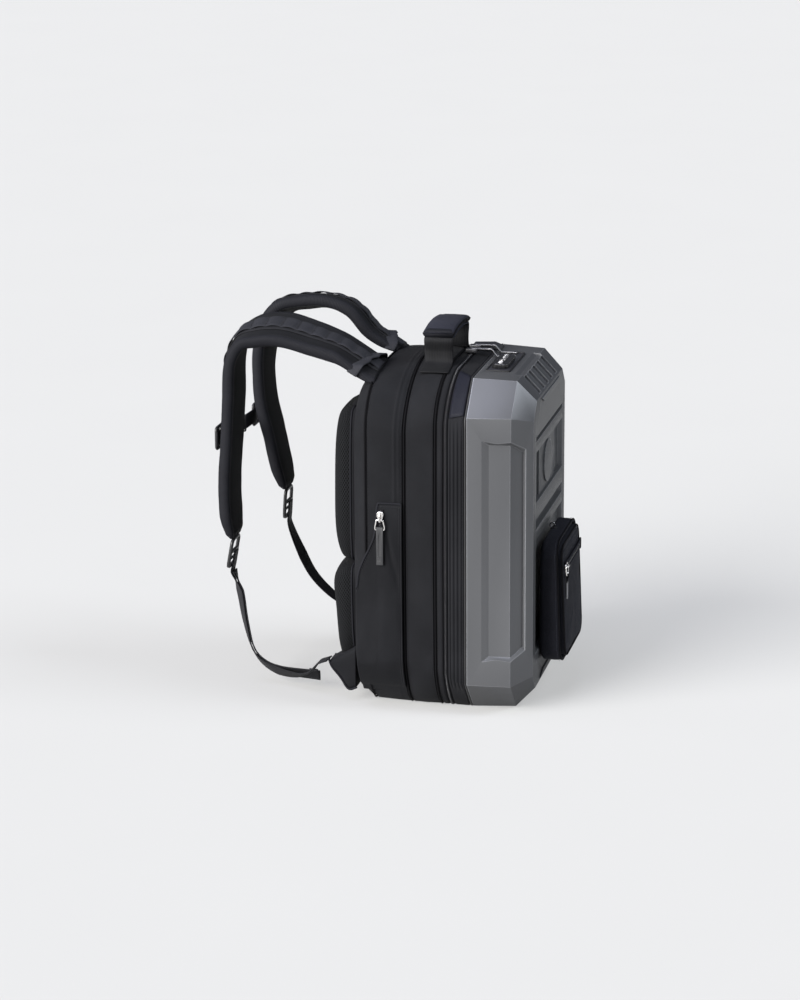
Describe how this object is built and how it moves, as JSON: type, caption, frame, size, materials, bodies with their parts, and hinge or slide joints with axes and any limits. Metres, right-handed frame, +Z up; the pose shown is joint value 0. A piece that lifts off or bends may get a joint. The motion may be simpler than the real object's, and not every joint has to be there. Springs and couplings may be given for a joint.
{
  "type": "hard shell backpack",
  "caption": "Travel backpack with a pressed grey hard shell front, soft black body, combination lock, padded straps and a small front pouch",
  "frame": {"origin": "on the floor, in the middle of the flat underside of the middle gusset", "axes": "x across the back to the wearer's right, y from the hard shell towards the wearer, z up"},
  "size_m": [0.3277, 0.4815, 0.5303],
  "materials": {
    "shell": "satin gunmetal grey shell",
    "cloth": "dense navy black nylon",
    "mesh": "black air mesh",
    "webbing": "black woven webbing",
    "piping": "smooth black edging",
    "rubber": "dark grey moulded rubber",
    "dark_metal": "gunmetal plated zinc",
    "bright_metal": "polished nickel",
    "plastic": "black moulded acetal",
    "pouch_cloth": "dark navy ripstop"
  },
  "bodies": {
    "bag": {"hard_shell": "shell", "shell_trim": "piping", "front_gusset": "cloth", "main_zip": "piping", "zip_facing": "cloth", "front_piping": "piping", "middle_gusset": "cloth", "middle_piping": "piping", "rear_gusset": "cloth", "rear_piping": "piping", "back_panel": "cloth", "upper_back_pad": "mesh", "lower_back_pad": "mesh", "handle_webbing": "webbing", "handle_pad": "cloth", "lock_plate": "dark_metal", "lock_case": "dark_metal", "zip_pull_left": "dark_metal", "zip_pull_right": "dark_metal", "pull_rest": "rubber", "side_zip_slider": "dark_metal", "bottle_pocket_left": "cloth", "anchor_wing_left": "cloth", "shoulder_strap_left": "mesh", "daisy_band_left": "webbing", "ladder_lock_left": "plastic", "lower_webbing_left": "webbing", "sternum_webbing_left": "webbing", "bottle_pocket_right": "cloth", "anchor_wing_right": "cloth", "shoulder_strap_right": "mesh", "daisy_band_right": "webbing", "ladder_lock_right": "plastic", "lower_webbing_right": "webbing", "sternum_webbing_right": "webbing", "webbing_tail": "webbing", "sternum_socket": "plastic", "sternum_plug": "plastic", "pouch_body": "pouch_cloth", "pouch_zip": "piping", "pouch_slider": "bright_metal", "pouch_clip": "bright_metal"},
    "dial_1": {"dial_1": "bright_metal"},
    "dial_2": {"dial_2": "bright_metal"},
    "dial_3": {"dial_3": "bright_metal"},
    "release": {"release_button": "bright_metal"},
    "side_pull": {"side_zip_link": "dark_metal", "side_zip_tab": "rubber"},
    "pouch_pull": {"pouch_link": "bright_metal"}
  },
  "joints": [
    {"name": "dial_1_turn", "type": "hinge", "parent": "bag", "child": "dial_1", "pos_m": [0.0085, -0.0865, 0.46007], "axis": [1, 0, 0], "continuous": true},
    {"name": "dial_2_turn", "type": "hinge", "parent": "bag", "child": "dial_2", "pos_m": [0.002, -0.0865, 0.46007], "axis": [1, 0, 0], "continuous": true},
    {"name": "dial_3_turn", "type": "hinge", "parent": "bag", "child": "dial_3", "pos_m": [-0.0045, -0.0865, 0.46007], "axis": [1, 0, 0], "continuous": true},
    {"name": "release_slide", "type": "slide", "parent": "bag", "child": "release", "axis": [1, 0, 0], "range_m": [0, 0.003]},
    {"name": "side_pull_swing", "type": "hinge", "parent": "bag", "child": "side_pull", "pos_m": [-0.16345, 0.0515, 0.27075], "axis": [0, 1, 0], "range_deg": [0, 150]},
    {"name": "pouch_pull_swing", "type": "hinge", "parent": "bag", "child": "pouch_pull", "pos_m": [-0.0555, -0.1822, 0.1903], "axis": [1, 0, 0], "range_deg": [-150, 0]}
  ]
}
